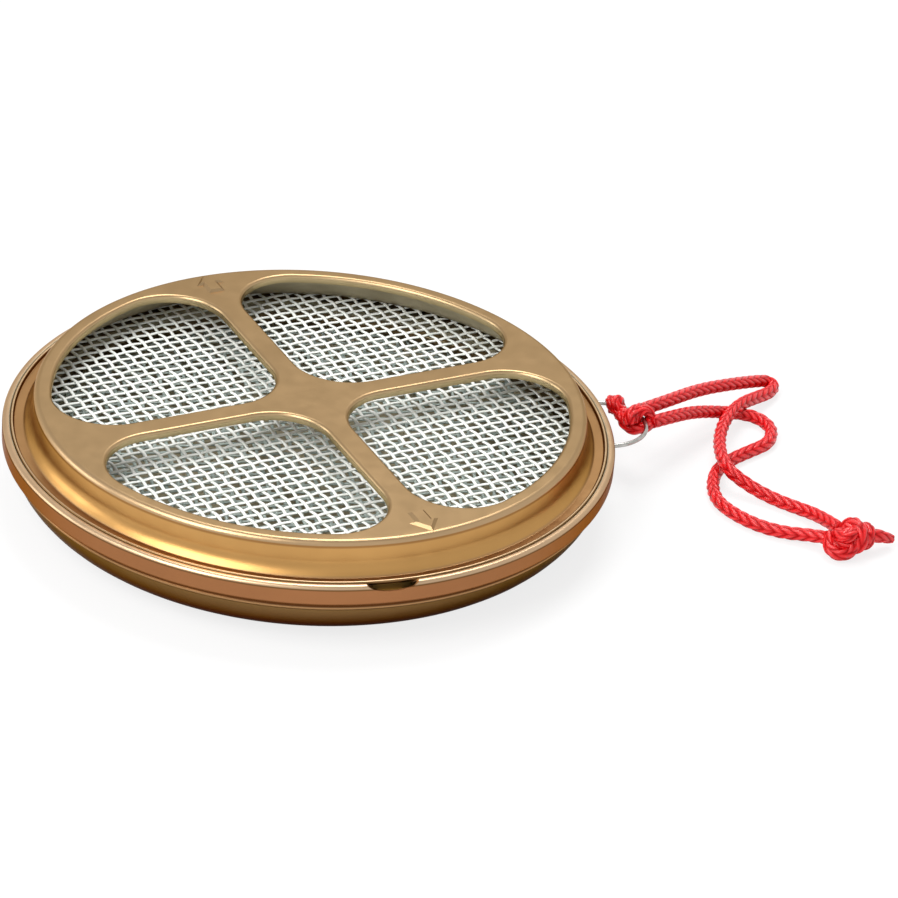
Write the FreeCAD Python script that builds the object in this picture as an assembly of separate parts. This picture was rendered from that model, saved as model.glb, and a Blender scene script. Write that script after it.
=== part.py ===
import FreeCAD, Part
import math
import os

from FreeCAD import Vector

# Mosquito coil holder: a round tin with a bayonet lid, two glass-fibre nets that hold the coil
# between them, a wire bail in the side and a braided cord on the bail.
# Millimetres. +Z is up, the origin is the centre of the underside, and the camera side is -Y.

UP = Vector(0, 0, 1)
OVERRUN = 4.0            # how far every cutting solid runs past what it cuts
SAME_PLACE = 1e-6        # points closer together than this are one point
SHEET = 0.4              # tinplate thickness of both halves and of the rings
RUNNING_GAP = 0.3        # free space between pieces that move past each other
SEAT_GAP = 0.1           # free space round a ring or net pressed into its shell

# Base pan
RIM_RADIUS = 75.0        # outside of the band, the widest part of the tin
RIM_ROLL = 2.4           # width of the rolled rim, from the band inwards
RIM_ROLL_DROP = 0.9      # how far the roll's free edge hangs under the rim's top
ROLL_ROUND_SHARE = 0.99  # how much of half the roll's width its outer rounding takes
BAND_BOTTOM = 12.8       # underside of the step that carries the band
BAND_HEIGHT = 5.1        # from there to the top of the rolled rim
BAND_CORNER = 0.8        # rounding of the band's lower edge
STEP_CORNER = 0.5        # rounding between the bowl and the step
STEP_WIDTH = 1.5         # how far the band stands out from the bowl
BOWL_CORNER_SHARE = 1.09 # rounding between the bowl's side and floor, as a share of its height
BOWL_LEAN = 2.9          # how much further in the side would meet the floor than the step

# Bayonet notches in the rim and the lugs that pass them
NOTCH_COUNT = 2
NOTCH_ANGLE = -73.2      # degrees from +X, the notch that faces the viewer
NOTCH_WIDTH = 12.0
NOTCH_UNDERCUT = 0.6     # how far the notch goes below the roll's free edge
LUG_WIDTH = 6.4
LUG_SLACK = 0.7          # free space between a lug and the inside of the band
LUG_HEADROOM = 1.6       # free space between a lug and the roll's free edge above it
LUG_RAMP = 0.5

# Lid shell
SHELF_DROP = 0.5         # how far the shelf round the wall lies below the base's rim
SHELF_WIDTH = 4.3        # from the foot of the wall to the outside of the skirt
WALL_HEIGHT = 8.3        # from the shelf to the flat top
SHOULDER = 1.5           # rounding between the flat top and the wall
DOME_FLARE = 0.6         # how much wider the wall is at its foot
DOME_FOOT = 2.0          # hollow rounding at the foot of the wall
LID_BEAD_WIDTH = 1.15
LID_BEAD_RISE = 0.9      # how far the bead stands above the shelf
LID_BEAD_CORNER = 0.5
LID_BEAD_FOOT = 0.3

# Windows in the lid
WINDOW_COUNT = 4
BAR_ANGLE = 26.8         # degrees from +X of the first of the two crossing bars
BAR_WIDTH = 6.4          # flat width between the lips of two windows
TOP_BORDER = 4.4         # flat width between a window and the outside of the wall
WINDOW_CORNER = 14.0
LIP_ROLL = 1.0           # rounding where the flat top turns down into a window
LIP_DEPTH = 2.8          # how far a window's lip hangs under the top

# Arrow pressed up in the top, one at each end of the second bar
ARROW_INSET = 1.8        # how far the arrow's middle lies inside the windows' outer edge
ARROW_LENGTH = 9.0
ARROW_HEAD_WIDTH = 6.4
ARROW_TAIL_WIDTH = 4.0
ARROW_HEAD_SHARE = 0.5   # how much of the length is the head
ARROW_RISE = 0.35

# Nets and the rings that hold them
NET_THICK = 0.8
NET_PITCH = 7.6          # coarse stand-in for threads 3 mm apart
NET_STRAND = 2.0
NET_EDGE = 1.6           # unbroken edge of the cut disc
RING_WIDTH = 4.0
RING_LIP = 2.0
BASE_NET_DROP = 5.2      # how far the base net lies below the step

# Wire bail
WIRE = 1.1               # diameter of the wire
BAIL_ANGLE = 11.5        # degrees from +X of the middle of the bail
BAIL_RADIUS = 10.7       # radius of the bow, also half the distance between its holes
BAIL_RISE = 2.3          # height of the holes above the band's lower edge
BAIL_HOLE = 2.4          # diameter of the two holes in the band
BAIL_FOOT = 1.4          # length of the bent end inside the band
BAIL_BEND = 0.9          # rounding between a leg and its bent end

# Braided cord. Routes are chosen by hand along the cord as it lies.
CORD = 3.2               # diameter of the cord
CORD_ARC_SHARE = 0.45    # share of the shorter run that a rounded corner may take
HITCH_TURN_ANGLES = (16.0, 62.0)  # where the hitch goes round the wire, degrees along the bow
HITCH_SAG_OUT = 6.2      # the bight's lowest point: outwards from the holes,
HITCH_SAG_ALONG = 3.3    # sideways from the middle of the bail
HITCH_SAG_DROP = 2.9     # and down from the wire
HITCH_PULLED_SHARE = 0.9 # thickness of the cord where the hitch pulls it straight
KNOT_CENTRE = Vector(134.2, -13.4, 4.6)
KNOT_LENGTH = 13.5
KNOT_WIDTH = 10.4
KNOT_HEIGHT = 8.6
TAIL_TIP = Vector(144.2, -9.8, 2.6)
TAIL_TIP_SHARE = 0.7     # thickness of the tail's end as a share of the cord
REAR_ROUTE = [
    Vector(83.4, 22.6, 15.2),
    Vector(90.0, 33.0, 13.2),
    Vector(98.6, 46.6, 8.6),
    Vector(105.6, 56.2, 4.8),
    Vector(111.4, 62.6, 2.4),
    Vector(115.8, 66.4, 1.8),
    Vector(120.0, 64.6, 1.7),
    Vector(120.2, 59.8, 1.8),
    Vector(116.0, 55.0, 4.6),
    Vector(110.8, 50.4, 8.2),
    Vector(106.7, 42.6, 8.2),
    Vector(104.0, 34.0, 6.8),
    Vector(103.2, 25.4, 8.2),
    Vector(104.1, 17.0, 8.2),
    Vector(107.8, 11.4, 5.0),
    Vector(113.6, 7.4, 2.2),
    Vector(120.8, 3.0, 1.8),
    Vector(127.2, -2.4, 2.8),
    Vector(131.4, -9.4, 4.4),
]
FRONT_ROUTE = [
    Vector(84.9, 18.6, 14.4),
    Vector(90.6, 27.4, 11.8),
    Vector(97.0, 38.6, 6.6),
    Vector(103.8, 45.6, 2.7),
    Vector(110.6, 47.4, 1.7),
    Vector(115.8, 44.6, 1.7),
    Vector(118.2, 39.4, 1.7),
    Vector(116.6, 33.6, 1.7),
    Vector(111.4, 29.2, 1.7),
    Vector(106.2, 24.2, 1.7),
    Vector(102.6, 18.2, 1.7),
    Vector(101.2, 11.2, 1.7),
    Vector(102.6, 3.8, 1.7),
    Vector(106.6, -2.2, 1.7),
    Vector(112.0, -6.6, 1.7),
    Vector(118.4, -9.2, 1.8),
    Vector(124.6, -10.0, 2.8),
    Vector(129.0, -11.4, 4.2),
]


# Sizes that follow from the ones above

RIM_TOP = BAND_BOTTOM + BAND_HEIGHT
BAND_INSIDE = RIM_RADIUS - SHEET
BOWL_CORNER = BAND_BOTTOM * BOWL_CORNER_SHARE
BOWL_TOP_RADIUS = RIM_RADIUS - STEP_WIDTH
ROLL_INSIDE = RIM_RADIUS - RIM_ROLL
ROLL_CORNER = RIM_ROLL / 2 * ROLL_ROUND_SHARE
SKIRT_RADIUS = ROLL_INSIDE - RUNNING_GAP
SKIRT_INSIDE = SKIRT_RADIUS - SHEET
SKIRT_BOTTOM = BAND_BOTTOM + SHEET + RUNNING_GAP
NOTCH_DEPTH = RIM_ROLL_DROP + NOTCH_UNDERCUT
LUG_REACH = BAND_INSIDE - LUG_SLACK - SKIRT_RADIUS
LUG_TOP = RIM_TOP - RIM_ROLL_DROP - LUG_HEADROOM
FLANGE_TOP = RIM_TOP - SHELF_DROP
LID_BEAD_TOP = FLANGE_TOP + LID_BEAD_RISE
LID_TOP = FLANGE_TOP + WALL_HEIGHT
DOME_RADIUS = SKIRT_RADIUS - SHELF_WIDTH - DOME_FLARE
WINDOW_RADIUS = DOME_RADIUS - TOP_BORDER
ARROW_RADIUS = WINDOW_RADIUS - ARROW_INSET
LIP_BOTTOM = LID_TOP - LIP_DEPTH
LID_NET_TOP = FLANGE_TOP - SHEET
LID_NET_BOTTOM = LID_NET_TOP - NET_THICK
LID_NET_RADIUS = SKIRT_INSIDE - SEAT_GAP
LID_RING_TOP = LID_NET_BOTTOM - RUNNING_GAP
LID_RING_RADIUS = SKIRT_INSIDE - RUNNING_GAP
BASE_NET_BOTTOM = BAND_BOTTOM - BASE_NET_DROP
BASE_NET_TOP = BASE_NET_BOTTOM + NET_THICK
BAIL_HEIGHT = BAND_BOTTOM + BAIL_RISE
BAIL_FOOT_RADIUS = SKIRT_RADIUS + RUNNING_GAP + WIRE / 2
BAIL_OUT = Vector(math.cos(math.radians(BAIL_ANGLE)), math.sin(math.radians(BAIL_ANGLE)), 0)
BAIL_ALONG = Vector(-BAIL_OUT.y, BAIL_OUT.x, 0)
BAIL_WALL = math.sqrt((RIM_RADIUS - SHEET / 2) ** 2 - BAIL_RADIUS ** 2)


def bowl_arc_centre_radius():
    """Distance from the axis of the centre of the bowl's rounded corner."""
    lean = math.atan2(BAND_BOTTOM, BOWL_LEAN)
    return BOWL_TOP_RADIUS - BOWL_LEAN - BOWL_CORNER * math.tan(lean / 2)


def bowl_inside(height):
    """Inside radius of the bowl at a height within its rounded corner."""
    reach = BOWL_CORNER - SHEET
    return bowl_arc_centre_radius() + math.sqrt(reach ** 2 - (BOWL_CORNER - height) ** 2)


# Outlines: corner points with a rounding each, in the plane of distance from the axis and height

def turn_sign(before, corner, after):
    """+1 where the outline turns left at the corner, -1 where it turns right."""
    first = corner - before
    second = after - corner
    return 1 if first.x * second.z - first.z * second.x > 0 else -1


def shifted_line(start, end, distance):
    """The line from start to end moved to its left."""
    along = (end - start).normalize()
    left = Vector(-along.z, 0, along.x)
    return start + left * distance, end + left * distance


def crossing(first, second):
    """Where two lines cross in the XZ plane."""
    a, b = first
    c, d = second
    r = b - a
    s = d - c
    share = ((c.x - a.x) * s.z - (c.z - a.z) * s.x) / (r.x * s.z - r.z * s.x)
    return a + r * share


def shifted_outline(corners, roundings, distance):
    """An open outline moved to its left, with its roundings grown or shrunk to match."""
    lines = [shifted_line(a, b, distance) for a, b in zip(corners, corners[1:])]
    moved = [lines[0][0]]
    moved += [crossing(a, b) for a, b in zip(lines, lines[1:])]
    moved.append(lines[-1][1])
    turns = [turn_sign(*corners[i - 1:i + 2]) for i in range(1, len(corners) - 1)]
    return moved, [r - distance * t for r, t in zip(roundings, turns)]


def rounded_edges(points, roundings):
    """Straight edges along the points, joined by tangent arcs of the given radii."""
    edges = []
    last = points[0]

    def run_to(point):
        if last.distanceToPoint(point) > SAME_PLACE:
            edges.append(Part.LineSegment(last, point).toShape())

    for before, corner, after, radius in zip(points, points[1:], points[2:], roundings):
        back = (before - corner).normalize()
        on = (after - corner).normalize()
        half_turn = (math.pi - back.getAngle(on)) / 2
        if radius <= 0:
            start, end = corner, corner
        else:
            cut = radius * math.tan(half_turn)
            start, end = corner + back * cut, corner + on * cut
        run_to(start)
        if start.distanceToPoint(end) > SAME_PLACE:
            inward = (back + on).normalize()
            middle = corner + inward * (radius / math.cos(half_turn) - radius)
            edges.append(Part.Arc(start, middle, end).toShape())
        last = end
    run_to(points[-1])
    return edges


def outline_points(pairs):
    return [Vector(radius, 0, height) for radius, height in pairs]


def turned(edges):
    """Solid of revolution about Z from the edges of a closed outline."""
    face = Part.Face(Part.Wire(edges))
    solid = face.revolve(Vector(0, 0, 0), UP, 360)
    return solid if solid.Volume > 0 else solid.reversed()


def turned_sheet(corners, roundings, to_left):
    """A turned shell of sheet metal, its sheet on one side of the outline."""
    inner, inner_roundings = shifted_outline(corners, roundings, SHEET if to_left else -SHEET)
    outside = rounded_edges(corners, roundings)
    inside = rounded_edges(inner, inner_roundings)
    ends = [Part.LineSegment(corners[-1], inner[-1]).toShape()]
    if corners[0].distanceToPoint(inner[0]) > SAME_PLACE:
        ends.append(Part.LineSegment(inner[0], corners[0]).toShape())
    return turned(Part.__sortEdges__(outside + inside + ends))


def turned_about_z(shape, degrees):
    return shape.rotated(Vector(0, 0, 0), UP, degrees)


# Base half

def notch_cutter():
    """Round-bottomed saddle cut across the rim, on the +X side."""
    half = NOTCH_WIDTH / 2
    radius = (half ** 2 + NOTCH_DEPTH ** 2) / (2 * NOTCH_DEPTH)
    start = Vector(ROLL_INSIDE - OVERRUN, 0, RIM_TOP - NOTCH_DEPTH + radius)
    return Part.makeCylinder(radius, RIM_ROLL + 2 * OVERRUN, start, Vector(1, 0, 0))


def bail_hole_cutter(side):
    start = BAIL_OUT * (BAIL_WALL - OVERRUN) + BAIL_ALONG * (side * BAIL_RADIUS)
    start.z = BAIL_HEIGHT
    return Part.makeCylinder(BAIL_HOLE / 2, 2 * OVERRUN, start, BAIL_OUT)


def base_pan():
    corners = outline_points([
        (0, 0),
        (BOWL_TOP_RADIUS - BOWL_LEAN, 0),
        (BOWL_TOP_RADIUS, BAND_BOTTOM),
        (RIM_RADIUS, BAND_BOTTOM),
        (RIM_RADIUS, RIM_TOP),
        (ROLL_INSIDE, RIM_TOP),
        (ROLL_INSIDE, RIM_TOP - RIM_ROLL_DROP),
    ])
    roundings = [BOWL_CORNER, STEP_CORNER, BAND_CORNER, ROLL_CORNER, RIM_ROLL_DROP]
    pan = turned_sheet(corners, roundings, True)
    for i in range(NOTCH_COUNT):
        pan = pan.cut(turned_about_z(notch_cutter(), NOTCH_ANGLE + i * 360 / NOTCH_COUNT))
    for side in (-1, 1):
        pan = pan.cut(bail_hole_cutter(side))
    return pan


def base_net():
    return net_disc(bowl_inside(BASE_NET_BOTTOM) - SEAT_GAP, BASE_NET_BOTTOM)


def base_net_ring():
    """Pressed ring that holds the base net down, its lip turned up along the bowl."""
    outer = bowl_inside(BASE_NET_TOP) - SEAT_GAP
    corners = outline_points([
        (outer - RING_WIDTH, BASE_NET_TOP),
        (outer, BASE_NET_TOP),
        (outer, BASE_NET_TOP + RING_LIP),
    ])
    return turned_sheet(corners, [2 * SHEET], True)


# Nets

def net_gaps(radius):
    """Corners of the square gaps that fit inside the net's unbroken edge."""
    half = (NET_PITCH - NET_STRAND) / 2
    reach = radius - NET_EDGE
    count = int(radius / NET_PITCH) + 1
    gaps = []
    for column in range(-count, count + 1):
        for row in range(-count, count + 1):
            x = column * NET_PITCH
            y = row * NET_PITCH
            if math.hypot(abs(x) + half, abs(y) + half) < reach:
                gaps.append([(x - half, y - half), (x + half, y - half),
                             (x + half, y + half), (x - half, y + half)])
    return gaps


def net_disc(radius, bottom):
    """Flat net: one holed face given its thickness, with threads along the lid's bars."""
    rim = Part.Wire([Part.makeCircle(radius, Vector(0, 0, bottom))])
    gaps = net_gaps(radius)
    holes = []
    for gap in gaps:
        loop = [Vector(x, y, bottom) for x, y in gap]
        holes.append(Part.makePolygon(loop + loop[:1]))
    face = Part.makeFace([rim] + holes, "Part::FaceMakerBullseye")
    print("net of radius", round(radius, 2), "has", len(gaps), "gaps")
    return turned_about_z(face.extrude(UP * NET_THICK), BAR_ANGLE)


# Lid half

def window_wire(grow, height):
    """Outline of the window between +X and +Y bars, grown outwards by a distance."""
    edge = BAR_WIDTH / 2 - grow
    outer = WINDOW_RADIUS + grow
    corner = WINDOW_CORNER + grow
    mid = edge + corner
    far = math.sqrt((outer - corner) ** 2 - mid ** 2)
    tilt = math.atan2(mid, far)
    half_right = math.pi / 4

    def on_circle(centre_x, centre_y, radius, angle):
        return Vector(centre_x + radius * math.cos(angle), centre_y + radius * math.sin(angle), height)

    def arc(centre_x, centre_y, radius, first, last):
        ends = (on_circle(centre_x, centre_y, radius, a) for a in (first, (first + last) / 2, last))
        return Part.Arc(*ends).toShape()

    inner_arc = arc(mid, mid, corner, 6 * half_right, 4 * half_right)
    left_arc = arc(mid, far, corner, 4 * half_right, 2 * half_right - tilt)
    outer_arc = arc(0, 0, outer, 2 * half_right - tilt, tilt)
    right_arc = arc(far, mid, corner, tilt, -2 * half_right)
    left_side = Part.LineSegment(Vector(edge, mid, height), Vector(edge, far, height)).toShape()
    right_side = Part.LineSegment(Vector(far, edge, height), Vector(mid, edge, height)).toShape()
    return Part.Wire([inner_arc, left_side, left_arc, outer_arc, right_arc, right_side])


def window_prisms(grow, bottom, top):
    prism = Part.Face(window_wire(grow, bottom)).extrude(UP * (top - bottom))
    return [turned_about_z(prism, BAR_ANGLE + i * 360 / WINDOW_COUNT) for i in range(WINDOW_COUNT)]


def with_windows(body, prisms, top, rounding):
    """The body with the prisms cut from it and the top edges of the cuts rounded over."""
    for prism in prisms:
        body = body.cut(prism)
    keep_inside = WINDOW_RADIUS + 2 * LIP_ROLL
    rims = [e for e in body.Edges
            if abs(e.BoundBox.ZMin - top) < SEAT_GAP and e.BoundBox.ZLength < SEAT_GAP
            and max(math.hypot(v.X, v.Y) for v in e.Vertexes) < keep_inside]
    return body.makeFillet(rounding, rims)


def lid_outline():
    crest = SKIRT_RADIUS - LID_BEAD_WIDTH
    corners = outline_points([
        (0, LID_TOP),
        (DOME_RADIUS, LID_TOP),
        (DOME_RADIUS + DOME_FLARE, FLANGE_TOP),
        (crest, FLANGE_TOP),
        (crest, LID_BEAD_TOP),
        (SKIRT_RADIUS, LID_BEAD_TOP),
        (SKIRT_RADIUS, SKIRT_BOTTOM),
    ])
    roundings = [SHOULDER, DOME_FOOT, LID_BEAD_FOOT, LID_BEAD_CORNER, LID_BEAD_CORNER]
    return corners, roundings


def filled_turning(corners, roundings):
    """The solid between an outline and the axis."""
    last = corners[-1]
    foot = Vector(0, 0, last.z)
    closing = [Part.LineSegment(last, foot).toShape(), Part.LineSegment(foot, corners[0]).toShape()]
    return turned(Part.__sortEdges__(rounded_edges(corners, roundings) + closing))


def lid_lug():
    """A pressed lug on the skirt, ramped above and below, on the +X side."""
    root = SKIRT_RADIUS - SHEET / 2
    tip = SKIRT_RADIUS + LUG_REACH
    profile = outline_points([
        (root, SKIRT_BOTTOM),
        (SKIRT_RADIUS, SKIRT_BOTTOM),
        (tip, SKIRT_BOTTOM + LUG_RAMP),
        (tip, LUG_TOP - LUG_RAMP),
        (SKIRT_RADIUS, LUG_TOP),
        (root, LUG_TOP),
    ])
    span = math.degrees(LUG_WIDTH / tip)
    face = Part.Face(Part.makePolygon(profile + profile[:1]))
    return turned_about_z(face.revolve(Vector(0, 0, 0), UP, span), -span / 2)


def lid_arrow():
    """A block arrow that points outwards, raised from the top, along +X."""
    tail = ARROW_RADIUS - ARROW_LENGTH / 2
    tip = ARROW_RADIUS + ARROW_LENGTH / 2
    neck = tip - ARROW_LENGTH * ARROW_HEAD_SHARE
    half_head = ARROW_HEAD_WIDTH / 2
    half_tail = ARROW_TAIL_WIDTH / 2
    bottom = LID_TOP - SHEET / 2
    pairs = [(tail, -half_tail), (neck, -half_tail), (neck, -half_head), (tip, 0),
             (neck, half_head), (neck, half_tail), (tail, half_tail)]
    points = [Vector(x, y, bottom) for x, y in pairs]
    face = Part.Face(Part.makePolygon(points + points[:1]))
    return face.extrude(UP * (LID_TOP + ARROW_RISE - bottom))


def lid_shell():
    corners, roundings = lid_outline()
    inner_corners, inner_roundings = shifted_outline(corners, roundings, -SHEET)
    outside = with_windows(filled_turning(corners, roundings),
                           window_prisms(0, 0, LID_TOP + OVERRUN), LID_TOP, LIP_ROLL)
    inner_top = LID_TOP - SHEET
    hollow = with_windows(filled_turning(inner_corners, inner_roundings),
                          window_prisms(SHEET, LIP_BOTTOM, LID_TOP + OVERRUN),
                          inner_top, LIP_ROLL - SHEET)
    shell = outside.cut(hollow)
    for i in range(NOTCH_COUNT):
        lug = turned_about_z(lid_lug(), NOTCH_ANGLE + i * 360 / NOTCH_COUNT)
        shell = shell.fuse(lug)
    for end in (-1, 1):
        shell = shell.fuse(turned_about_z(lid_arrow(), BAR_ANGLE + end * 90))
    return shell


def lid_net():
    return net_disc(LID_NET_RADIUS, LID_NET_BOTTOM)


def lid_net_ring():
    """Pressed ring under the lid net, its lip turned down along the skirt."""
    corners = outline_points([
        (LID_RING_RADIUS - RING_WIDTH, LID_RING_TOP),
        (LID_RING_RADIUS, LID_RING_TOP),
        (LID_RING_RADIUS, LID_RING_TOP - RING_LIP),
    ])
    return turned_sheet(corners, [2 * SHEET], False)


# Bail

def bail_place(out, along, height=BAIL_HEIGHT):
    """A point at a distance outwards and sideways of the bail's middle line."""
    point = BAIL_OUT * out + BAIL_ALONG * along
    point.z = height
    return point


def tube_on(path, radius):
    """A round tube along a wire."""
    start = path.Edges[0].valueAt(path.Edges[0].FirstParameter)
    heading = path.Edges[0].tangentAt(path.Edges[0].FirstParameter)
    ring = Part.Wire([Part.makeCircle(radius, start, heading)])
    tube = path.makePipeShell([ring], True, False)
    return tube if tube.Volume > 0 else tube.reversed()


def hanging_bail():
    """Bow of wire with both legs through the band and their ends bent apart inside it."""
    leg_end = math.sqrt(BAIL_FOOT_RADIUS ** 2 - BAIL_RADIUS ** 2)
    spread = BAIL_RADIUS + BAIL_FOOT
    bow = Part.Arc(bail_place(BAIL_WALL, -BAIL_RADIUS), bail_place(BAIL_WALL + BAIL_RADIUS, 0),
                   bail_place(BAIL_WALL, BAIL_RADIUS)).toShape()
    first = rounded_edges([bail_place(leg_end, -spread), bail_place(leg_end, -BAIL_RADIUS),
                           bail_place(BAIL_WALL, -BAIL_RADIUS)], [BAIL_BEND])
    last = rounded_edges([bail_place(BAIL_WALL, BAIL_RADIUS), bail_place(leg_end, BAIL_RADIUS),
                          bail_place(leg_end, spread)], [BAIL_BEND])
    return tube_on(Part.Wire(first + [bow] + last), WIRE / 2)


# Cord

def cord_hitch():
    """Two turns of cord round the wire and the bight that sags between them."""
    radius = CORD / 2
    wrap = WIRE / 2 + SEAT_GAP + radius
    places = []
    turns = []
    for degrees in HITCH_TURN_ANGLES:
        angle = math.radians(degrees)
        centre = bail_place(BAIL_WALL + BAIL_RADIUS * math.cos(angle), BAIL_RADIUS * math.sin(angle))
        heading = BAIL_ALONG * math.cos(angle) - BAIL_OUT * math.sin(angle)
        places.append(centre)
        turns.append(Part.makeTorus(wrap, radius, centre, heading))
    start, end = (place - UP * wrap for place in places)
    sag = bail_place(BAIL_WALL + HITCH_SAG_OUT, HITCH_SAG_ALONG, BAIL_HEIGHT - HITCH_SAG_DROP)
    bight = tube_on(Part.Wire([Part.Arc(start, sag, end).toShape()]), radius * HITCH_PULLED_SHARE)
    return turns[0].fuse([turns[1], bight])


def cord_strand(name, route):
    """A free stretch of cord: straight runs joined by arcs as large as the runs allow."""
    runs = [a.distanceToPoint(b) for a, b in zip(route, route[1:])]
    radii = []
    for i in range(1, len(route) - 1):
        half_turn = (route[i] - route[i - 1]).getAngle(route[i + 1] - route[i]) / 2
        radii.append(CORD_ARC_SHARE * min(runs[i - 1], runs[i]) / math.tan(half_turn))
    path = Part.Wire(rounded_edges(route, radii))
    tube = tube_on(path, CORD / 2)
    expected = math.pi * (CORD / 2) ** 2 * path.Length
    print(name, "length", round(path.Length, 1), "runs", [round(r, 1) for r in runs])
    print("  radii", [round(r, 1) for r in radii], "volume share", round(tube.Volume / expected, 4))
    return tube


def cord_knot():
    """The overhand knot that joins both strands, with its short tapered tail."""
    along = TAIL_TIP - KNOT_CENTRE
    heading = math.degrees(math.atan2(along.y, along.x))
    unit = Part.makeSphere(1.0)
    scale = FreeCAD.Matrix()
    scale.scale(KNOT_LENGTH / 2, KNOT_WIDTH / 2, KNOT_HEIGHT / 2)
    lump = unit.transformGeometry(scale)
    lump = turned_about_z(lump, heading).translated(KNOT_CENTRE)
    tail = Part.makeCone(CORD / 2, CORD / 2 * TAIL_TIP_SHARE, along.Length, KNOT_CENTRE, along)
    return lump.fuse(tail)


NODES = {
    "base_pan": base_pan,
    "base_net": base_net,
    "base_net_ring": base_net_ring,
    "lid_shell": lid_shell,
    "lid_net": lid_net,
    "lid_net_ring": lid_net_ring,
    "hanging_bail": hanging_bail,
    "cord_hitch": cord_hitch,
    "cord_strand_rear": lambda: cord_strand("rear strand", REAR_ROUTE),
    "cord_strand_front": lambda: cord_strand("front strand", FRONT_ROUTE),
    "cord_knot": cord_knot,
}


def main():
    os.makedirs("parts", exist_ok=True)
    for name, make in NODES.items():
        shape = make()
        shape.exportStep(os.path.join("parts", name + ".step"))
        print(name, "valid", shape.isValid(), "solids", len(shape.Solids), "volume", round(shape.Volume, 1))


main()
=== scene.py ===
import math
import random

import bmesh
import bpy
from mathutils import Matrix, Vector


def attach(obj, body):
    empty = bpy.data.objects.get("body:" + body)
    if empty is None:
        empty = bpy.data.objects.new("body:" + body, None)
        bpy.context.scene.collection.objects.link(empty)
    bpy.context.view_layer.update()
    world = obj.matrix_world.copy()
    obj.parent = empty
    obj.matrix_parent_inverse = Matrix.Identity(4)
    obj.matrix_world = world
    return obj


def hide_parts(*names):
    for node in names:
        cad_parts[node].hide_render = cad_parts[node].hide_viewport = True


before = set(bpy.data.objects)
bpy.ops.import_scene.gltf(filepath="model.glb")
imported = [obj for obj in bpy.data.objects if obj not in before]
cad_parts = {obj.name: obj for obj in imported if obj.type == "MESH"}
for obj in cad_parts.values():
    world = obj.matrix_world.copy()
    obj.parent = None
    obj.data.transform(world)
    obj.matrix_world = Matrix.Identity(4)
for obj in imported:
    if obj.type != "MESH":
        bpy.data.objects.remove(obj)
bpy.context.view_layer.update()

# A mosquito coil holder: a round lacquered tin with two woven nets, a wire bail and a red cord.
# Sizes are in metres. MM turns millimetres into them.
MM = 0.001
UP = Vector((0, 0, 1))

# Camera: where the photograph was taken from. Its sensor and lens are in millimetres.
CAMERA_ELEVATION = math.radians(30.52)
CAMERA_YAW = math.radians(-2.01)
CAMERA_PITCH = math.radians(0.5)
CAMERA_ROLL = math.radians(-3.745)
CAMERA_DISTANCE = 982 * MM
CAMERA_AIM_HEIGHT = 3.7 * MM
SENSOR = 36.0
LENS = 160.0

# Light and floor
FLOOR_SIZE = 8.0
FLOOR_GAP = 0.02 * MM
FLOOR_ROUGHNESS = 0.9
FLOOR_CAMERA_GLOW = 0.8
FLOOR_MIRRORED_GLOW = 0.15
KEY_POWER = 7.8
KEY_SIZE = 0.6
KEY_PLACE = Vector((0.1, 0.5, 1.05))
FRONT_POWER = 7.6
FRONT_SIZE = 0.7
FRONT_PLACE = Vector((-0.5, -0.46, 0.78))
SIDE_POWER = 1.2
SIDE_SIZE = 0.4
SIDE_PLACE = Vector((-0.8, 0.1, 0.25))
WORLD_LIGHT = 0.5
WORLD_DIM_FROM = math.sin(math.radians(46))
WORLD_DIM_TO = math.sin(math.radians(80))

# Tin
TURN_STEPS = 240
ARC_STEP = math.radians(6.5)
SHARP_ANGLE = math.radians(32)
NORMAL_WEIGHT = 50
MERGE_GAP = 0.01 * MM
WELD_GAP = 0.002 * MM
SHEET = 0.4 * MM
RIM_RADIUS = 74.8 * MM
RIM_TOP = 18.1 * MM
RIM_ROLL = 1.9 * MM
RIM_CORNER = 1.19 * MM
RIM_DROP = 0.9 * MM
RIM_INNER_CORNER = 0.42 * MM
BAND_BOTTOM = 13.0 * MM
BAND_CORNER = 0.8 * MM
STEP_RADIUS = 73.3 * MM
STEP_CORNER = 0.12 * MM
CREASE_DROP = 2.2 * MM
CREASE_HEIGHT = 1.3 * MM
CREASE_RISE = 0.45 * MM
CREASE_CORNER = 0.42 * MM
BOWL_FOOT_RADIUS = 69.6 * MM
BOWL_CORNER = 14.9 * MM
NOTCH_ANGLE = math.radians(-73.2)
NOTCH_WIDTH = 13.0 * MM
NOTCH_DEPTH = 1.5 * MM
NOTCH_LIFT = 0.6 * MM
BAIL_ANGLE = math.radians(11.5)
BAIL_RADIUS = 10.7 * MM
BAIL_HEIGHT = 15.1 * MM
BAIL_HOLE = 2.4 * MM
INWARD_LEAN = 0.3
CUTTER_STEPS = 96
CUTTER_LENGTH = 6.0 * MM

# Lid
LID_TOP = 25.7 * MM
DOME_RADIUS = 67.2 * MM
DOME_CORNER = 1.5 * MM
DOME_WAIST_RADIUS = 67.8 * MM
DOME_WAIST = 19.3 * MM
DOME_SWEEP = 4.5 * MM
DOME_FOOT_RADIUS = 69.7 * MM
DOME_FOOT = 0.5 * MM
FLANGE_TOP = 17.4 * MM
BEAD_RADIUS = 72.0 * MM
BEAD_WIDTH = 0.86 * MM
BEAD_DEPTH = 1.2 * MM
BEAD_TOP = 18.3 * MM
BEAD_FOOT = 0.3 * MM
BEAD_CORNER = 0.41 * MM
SKIRT_RADIUS = 72.4 * MM
SKIRT_BOTTOM = 13.5 * MM
WINDOW_COUNT = 4
WINDOW_STEPS = 24
WINDOW_RADIUS = 63.0 * MM
WINDOW_CORNER = 14.0 * MM
BAR_ANGLE = math.radians(26.8)
BAR_WIDTH = 6.4 * MM
LIP_ROLL = 1.0 * MM
LIP_DEPTH = 2.0 * MM
LIP_STEPS = 8
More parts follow.
